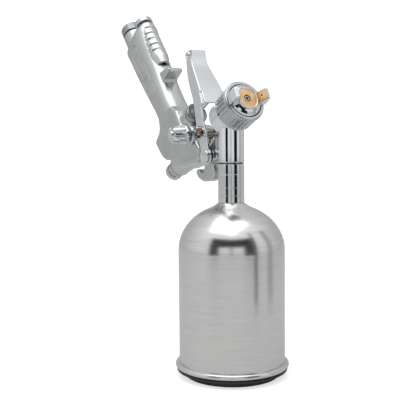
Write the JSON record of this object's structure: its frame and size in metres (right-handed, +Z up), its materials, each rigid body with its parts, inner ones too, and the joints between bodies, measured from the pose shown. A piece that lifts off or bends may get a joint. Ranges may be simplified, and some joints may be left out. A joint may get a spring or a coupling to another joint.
{
  "type": "gravity-feed HVLP spray gun",
  "caption": "Gravity-feed HVLP spray gun standing on its cup lid, with a spun aluminium cup and working trigger, needle and knobs.",
  "frame": {"origin": "centre of the cup lid's flat rest face, which the gun stands on", "axes": "+Z up along the cup's axis from the lid to the gun, +X towards the spray nozzle in plan, -Y on the side of the fan knob"},
  "size_m": [0.2308, 0.0912, 0.3052],
  "materials": {
    "body_casting": "satin",
    "spun_aluminium": "satin",
    "polished_trim": "polished",
    "chrome_parts": "polished",
    "brass_parts": "polished",
    "spring_steel": "satin",
    "black_lid": "satin",
    "strainer_plastic": "matte",
    "seal_rubber": "matte"
  },
  "bodies": {
    "lid": {"cup_lid": "black_lid", "lid_seal": "seal_rubber", "lid_vent_plug": "seal_rubber"},
    "cup": {"cup": "spun_aluminium", "cup_collar": "chrome_parts", "cup_lock_ring": "chrome_parts", "paint_strainer": "strainer_plastic"},
    "gun": {"gun_body": "body_casting", "cup_adapter": "chrome_parts", "adapter_seal": "seal_rubber", "nozzle_seal": "seal_rubber", "air_baffle": "brass_parts", "fluid_nozzle": "chrome_parts", "needle_packing": "seal_rubber", "packing_nut": "chrome_parts", "needle_spring": "spring_steel", "rear_bush": "polished_trim", "trigger_stud": "chrome_parts", "trigger_stud_clip": "spring_steel", "air_valve_nut": "chrome_parts", "air_valve_spring": "spring_steel", "fan_bush": "polished_trim", "inlet_washer": "seal_rubber", "air_inlet": "polished_trim", "flow_bush": "polished_trim"},
    "trigger": {"trigger": "chrome_parts", "trigger_bar": "chrome_parts", "trigger_bar_clip_near": "spring_steel", "trigger_bar_clip_far": "spring_steel"},
    "needle": {"fluid_needle": "chrome_parts", "needle_collar": "brass_parts"},
    "air_valve": {"air_valve_stem": "chrome_parts", "air_valve_seal": "seal_rubber"},
    "fluid_knob": {"fluid_knob": "polished_trim"},
    "fan_knob": {"fan_knob": "polished_trim", "fan_spindle": "chrome_parts"},
    "flow_knob": {"flow_knob": "polished_trim", "flow_spindle": "chrome_parts"},
    "air_cap_ring": {"air_cap_ring": "chrome_parts"},
    "air_cap": {"air_cap": "brass_parts"}
  },
  "joints": [
    {"name": "cup_lift", "type": "slide", "parent": "lid", "child": "cup", "axis": [0, 0, 1], "range_m": [0, 0.03]},
    {"name": "cup_thread", "type": "hinge", "parent": "cup", "child": "gun", "pos_m": [0, 0, 0.1509], "axis": [0, 0, 1], "continuous": true},
    {"name": "trigger_pull", "type": "hinge", "parent": "gun", "child": "trigger", "pos_m": [-0.0192, 0, 0.17531], "axis": [0, -1, 0], "range_deg": [0, 11], "stiffness_Nm_per_rad": 2, "springref_deg": -5.73},
    {"name": "needle_slide", "type": "slide", "parent": "gun", "child": "needle", "axis": [-0.891, 0, -0.454], "range_m": [0, 0.004], "deforming": ["needle_spring"]},
    {"name": "air_valve_slide", "type": "slide", "parent": "gun", "child": "air_valve", "axis": [-0.891, 0, -0.454], "range_m": [0, 0.00942], "deforming": ["air_valve_spring"]},
    {"name": "fluid_knob_turn", "type": "hinge", "parent": "gun", "child": "fluid_knob", "pos_m": [-0.08554, 0, 0.16452], "axis": [0.891, 0, 0.454], "range_deg": [0, 810]},
    {"name": "fan_knob_turn", "type": "hinge", "parent": "gun", "child": "fan_knob", "pos_m": [-0.04604, -0.02, 0.19272], "axis": [0, 1, 0], "range_deg": [0, 450]},
    {"name": "flow_knob_turn", "type": "hinge", "parent": "gun", "child": "flow_knob", "pos_m": [-0.14825, 0, 0.29647], "axis": [-0.6561, 0, 0.7547], "range_deg": [0, 450]},
    {"name": "air_cap_ring_turn", "type": "hinge", "parent": "gun", "child": "air_cap_ring", "pos_m": [0.01247, 0, 0.21446], "axis": [0.891, 0, 0.454], "continuous": true},
    {"name": "air_cap_turn", "type": "hinge", "parent": "gun", "child": "air_cap", "pos_m": [0.02138, 0, 0.219], "axis": [0.891, 0, 0.454], "continuous": true}
  ],
  "couplings": [
    {"joint": "needle_slide", "follows": "trigger_pull", "m_per_rad": 0.0208},
    {"joint": "air_valve_slide", "follows": "trigger_pull", "m_per_rad": 0.049}
  ]
}
